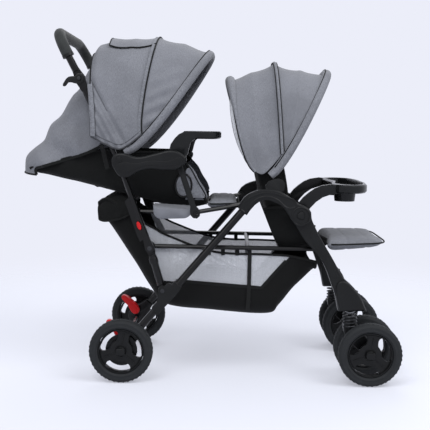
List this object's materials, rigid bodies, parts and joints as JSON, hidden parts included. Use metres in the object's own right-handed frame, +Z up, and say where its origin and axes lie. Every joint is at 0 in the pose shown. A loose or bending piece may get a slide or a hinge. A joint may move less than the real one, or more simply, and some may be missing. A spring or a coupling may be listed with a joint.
{
  "type": "tandem double stroller",
  "caption": "Tandem pushchair for two children, one seat behind the other on a folding tube frame, with two canopies, trays, a basket and swivelling twin front wheels.",
  "frame": {"origin": "on the floor, under the middle of the whole stroller's length and width", "axes": "+X the way the children face, +Y the stroller's left side, +Z up"},
  "size_m": [1.1308, 0.544, 1.0153],
  "materials": {
    "frame": "satin black powder coat",
    "plastic": "fine matte black",
    "tyre": "matte black",
    "foam": "matte black foam",
    "red": "bright red",
    "steel": "bright zinc",
    "black_cloth": "black woven cloth",
    "grey_cloth": "melange grey woven cloth"
  },
  "bodies": {
    "chassis": {"rear_leg_left": "frame", "rear_leg_right": "frame", "rear_axle": "steel", "y_bracket_left": "plastic", "y_bracket_right": "plastic", "front_arch_left": "plastic", "front_arch_right": "plastic", "front_seat": "black_cloth", "storage_basket": "black_cloth", "front_canopy_back": "grey_cloth"},
    "rear_wheel_left": {"rear_rim_left": "plastic", "rear_tyre_left": "tyre"},
    "rear_wheel_right": {"rear_rim_right": "plastic", "rear_tyre_right": "tyre"},
    "brake_left": {"brake_pedal_left": "red"},
    "brake_right": {"brake_pedal_right": "red"},
    "arch_button_left": {"arch_button_left": "plastic"},
    "arch_button_right": {"arch_button_right": "plastic"},
    "lower_links": {"lower_link_left": "frame", "lower_link_right": "frame"},
    "uprights": {"upright_left": "frame", "upright_right": "frame", "rear_canopy_back": "grey_cloth", "tail_hood": "grey_cloth"},
    "fold_button_left": {"fold_button_left": "red"},
    "fold_button_right": {"fold_button_right": "red"},
    "push_handle": {"push_handle": "frame", "handle_grip": "foam"},
    "handle_levers": {"handle_lever_left": "plastic", "handle_lever_right": "plastic"},
    "armrests": {"rear_armrest_left": "plastic", "rear_armrest_right": "plastic"},
    "rear_tray": {"rear_tray": "plastic"},
    "rear_seat_frame": {"rear_seat_frame": "frame", "rear_seat": "black_cloth"},
    "rear_backrest": {"rear_backrest": "black_cloth"},
    "rear_leg_rest": {"rear_leg_rest": "grey_cloth"},
    "armrest_struts": {"armrest_strut_left": "plastic", "armrest_strut_right": "plastic"},
    "lower_rails": {"lower_rails": "frame"},
    "front_legs": {"front_leg_left": "plastic", "front_leg_right": "plastic", "front_cross_tube": "frame"},
    "caster_left": {"caster_head_left": "plastic"},
    "caster_right": {"caster_head_right": "plastic"},
    "fork_left": {"caster_fork_left": "plastic", "caster_spring_left": "steel"},
    "fork_right": {"caster_fork_right": "plastic", "caster_spring_right": "steel"},
    "front_wheels_left": {"front_rims_left": "plastic", "front_tyre_outer_left": "tyre", "front_tyre_inner_left": "tyre"},
    "front_wheels_right": {"front_rims_right": "plastic", "front_tyre_outer_right": "tyre", "front_tyre_inner_right": "tyre"},
    "front_tray": {"front_tray": "plastic"},
    "front_backrest": {"front_backrest": "black_cloth"},
    "front_leg_rest": {"front_leg_rest": "grey_cloth"},
    "rear_canopy_front": {"rear_canopy_front": "grey_cloth"},
    "front_canopy_front": {"front_canopy_front": "grey_cloth"}
  },
  "joints": [
    {"name": "frame_fold", "type": "hinge", "parent": "lower_links", "child": "uprights", "pos_m": [-0.165, 0, 0.387], "axis": [0, 1, 0], "range_deg": [0, 121.2], "deforming": ["storage_basket", "rear_seat", "rear_backrest", "front_seat", "front_backrest", "rear_canopy_back", "rear_canopy_front", "tail_hood", "front_canopy_back", "front_canopy_front"]},
    {"name": "lower_link_fold", "type": "hinge", "parent": "chassis", "child": "lower_links", "pos_m": [-0.127, 0, 0.264], "axis": [0, 1, 0], "range_deg": [-57, 0]},
    {"name": "armrest_fold", "type": "hinge", "parent": "uprights", "child": "armrests", "pos_m": [-0.25, 0, 0.628], "axis": [0, 1, 0], "range_deg": [-87.5, 0]},
    {"name": "seat_frame_fold", "type": "hinge", "parent": "chassis", "child": "rear_seat_frame", "pos_m": [0.103, 0, 0.515], "axis": [0, 1, 0], "range_deg": [-22.5, 0]},
    {"name": "strut_fold", "type": "hinge", "parent": "rear_seat_frame", "child": "armrest_struts", "pos_m": [-0.034, 0, 0.49], "axis": [0, 1, 0], "range_deg": [0, 87.5]},
    {"name": "lower_rail_fold", "type": "hinge", "parent": "lower_links", "child": "lower_rails", "pos_m": [-0.165, 0, 0.387], "axis": [0, 1, 0], "range_deg": [0, 47.5]},
    {"name": "front_leg_fold", "type": "hinge", "parent": "chassis", "child": "front_legs", "pos_m": [0.268, 0, 0.488], "axis": [0, 1, 0], "range_deg": [0, 47]},
    {"name": "rear_wheel_left_spin", "type": "hinge", "parent": "chassis", "child": "rear_wheel_left", "pos_m": [-0.243, 0.25, 0.0925], "axis": [0, 1, 0], "continuous": true},
    {"name": "brake_pedal_left_tilt", "type": "hinge", "parent": "chassis", "child": "brake_left", "pos_m": [-0.247, 0.19, 0.1185], "axis": [0, -1, 0], "range_deg": [0, 20]},
    {"name": "arch_button_left_press", "type": "slide", "parent": "chassis", "child": "arch_button_left", "axis": [0, -1, 0], "range_m": [0, 0.003], "stiffness_N_per_m": 300, "springref_m": -0.003},
    {"name": "fold_button_left_press", "type": "slide", "parent": "uprights", "child": "fold_button_left", "axis": [0, -1, 0], "range_m": [0, 0.0025], "stiffness_N_per_m": 300, "springref_m": -0.003},
    {"name": "caster_left_swivel", "type": "hinge", "parent": "front_legs", "child": "caster_left", "pos_m": [0.42, 0.195, 0.268], "axis": [0, 0, 1], "continuous": true},
    {"name": "suspension_left", "type": "slide", "parent": "caster_left", "child": "fork_left", "axis": [0, 0, 1], "range_m": [0, 0.012], "stiffness_N_per_m": 8000, "springref_m": -0.02, "deforming": ["caster_spring_left"]},
    {"name": "front_wheels_left_spin", "type": "hinge", "parent": "fork_left", "child": "front_wheels_left", "pos_m": [0.473, 0.195, 0.0925], "axis": [0, 1, 0], "continuous": true},
    {"name": "rear_wheel_right_spin", "type": "hinge", "parent": "chassis", "child": "rear_wheel_right", "pos_m": [-0.243, -0.25, 0.0925], "axis": [0, 1, 0], "continuous": true},
    {"name": "brake_pedal_right_tilt", "type": "hinge", "parent": "chassis", "child": "brake_right", "pos_m": [-0.247, -0.19, 0.1185], "axis": [0, -1, 0], "range_deg": [0, 20]},
    {"name": "arch_button_right_press", "type": "slide", "parent": "chassis", "child": "arch_button_right", "axis": [0, 1, 0], "range_m": [0, 0.003], "stiffness_N_per_m": 300, "springref_m": -0.003},
    {"name": "fold_button_right_press", "type": "slide", "parent": "uprights", "child": "fold_button_right", "axis": [0, 1, 0], "range_m": [0, 0.0025], "stiffness_N_per_m": 300, "springref_m": -0.003},
    {"name": "caster_right_swivel", "type": "hinge", "parent": "front_legs", "child": "caster_right", "pos_m": [0.42, -0.195, 0.268], "axis": [0, 0, 1], "continuous": true},
    {"name": "suspension_right", "type": "slide", "parent": "caster_right", "child": "fork_right", "axis": [0, 0, 1], "range_m": [0, 0.012], "stiffness_N_per_m": 8000, "springref_m": -0.02, "deforming": ["caster_spring_right"]},
    {"name": "front_wheels_right_spin", "type": "hinge", "parent": "fork_right", "child": "front_wheels_right", "pos_m": [0.473, -0.195, 0.0925], "axis": [0, 1, 0], "continuous": true},
    {"name": "handle_tilt", "type": "hinge", "parent": "uprights", "child": "push_handle", "pos_m": [-0.366, 0, 0.868], "axis": [0, 1, 0], "range_deg": [-50, 40]},
    {"name": "handle_lever_squeeze", "type": "hinge", "parent": "uprights", "child": "handle_levers", "pos_m": [-0.366, 0, 0.868], "axis": [0, 1, 0], "range_deg": [0, 12], "stiffness_Nm_per_rad": 0.3, "springref_deg": -11.46},
    {"name": "rear_tray_lift", "type": "hinge", "parent": "armrests", "child": "rear_tray", "pos_m": [-0.085, 0, 0.655], "axis": [0, -1, 0], "range_deg": [0, 55]},
    {"name": "rear_backrest_recline", "type": "hinge", "parent": "rear_seat_frame", "child": "rear_backrest", "pos_m": [-0.13, 0, 0.512], "axis": [0, 1, 0], "range_deg": [0, 50]},
    {"name": "rear_leg_rest_tilt", "type": "hinge", "parent": "rear_seat_frame", "child": "rear_leg_rest", "pos_m": [-0.002, 0, 0.497], "axis": [0, 1, 0], "range_deg": [0, 70]},
    {"name": "front_tray_lift", "type": "hinge", "parent": "chassis", "child": "front_tray", "pos_m": [0.268, 0, 0.488], "axis": [0, -1, 0], "range_deg": [0, 55]},
    {"name": "front_backrest_recline", "type": "hinge", "parent": "chassis", "child": "front_backrest", "pos_m": [0.172, 0, 0.412], "axis": [0, -1, 0], "range_deg": [0, 8]},
    {"name": "front_leg_rest_tilt", "type": "hinge", "parent": "chassis", "child": "front_leg_rest", "pos_m": [0.352, 0, 0.374], "axis": [0, 1, 0], "range_deg": [0, 60]},
    {"name": "rear_canopy_fold", "type": "hinge", "parent": "uprights", "child": "rear_canopy_front", "pos_m": [-0.228, 0, 0.636], "axis": [0, -1, 0], "range_deg": [0, 50]},
    {"name": "front_canopy_fold", "type": "hinge", "parent": "chassis", "child": "front_canopy_front", "pos_m": [0.2, 0, 0.577], "axis": [0, -1, 0], "range_deg": [0, 45]}
  ],
  "couplings": [
    {"joint": "lower_link_fold", "follows": "frame_fold", "ratio": -0.4637},
    {"joint": "armrest_fold", "follows": "frame_fold", "ratio": -0.71617},
    {"joint": "seat_frame_fold", "follows": "frame_fold", "ratio": -0.17987},
    {"joint": "strut_fold", "follows": "frame_fold", "ratio": 0.71617},
    {"joint": "lower_rail_fold", "follows": "frame_fold", "ratio": 0.38696},
    {"joint": "front_leg_fold", "follows": "frame_fold", "ratio": 0.38366}
  ]
}
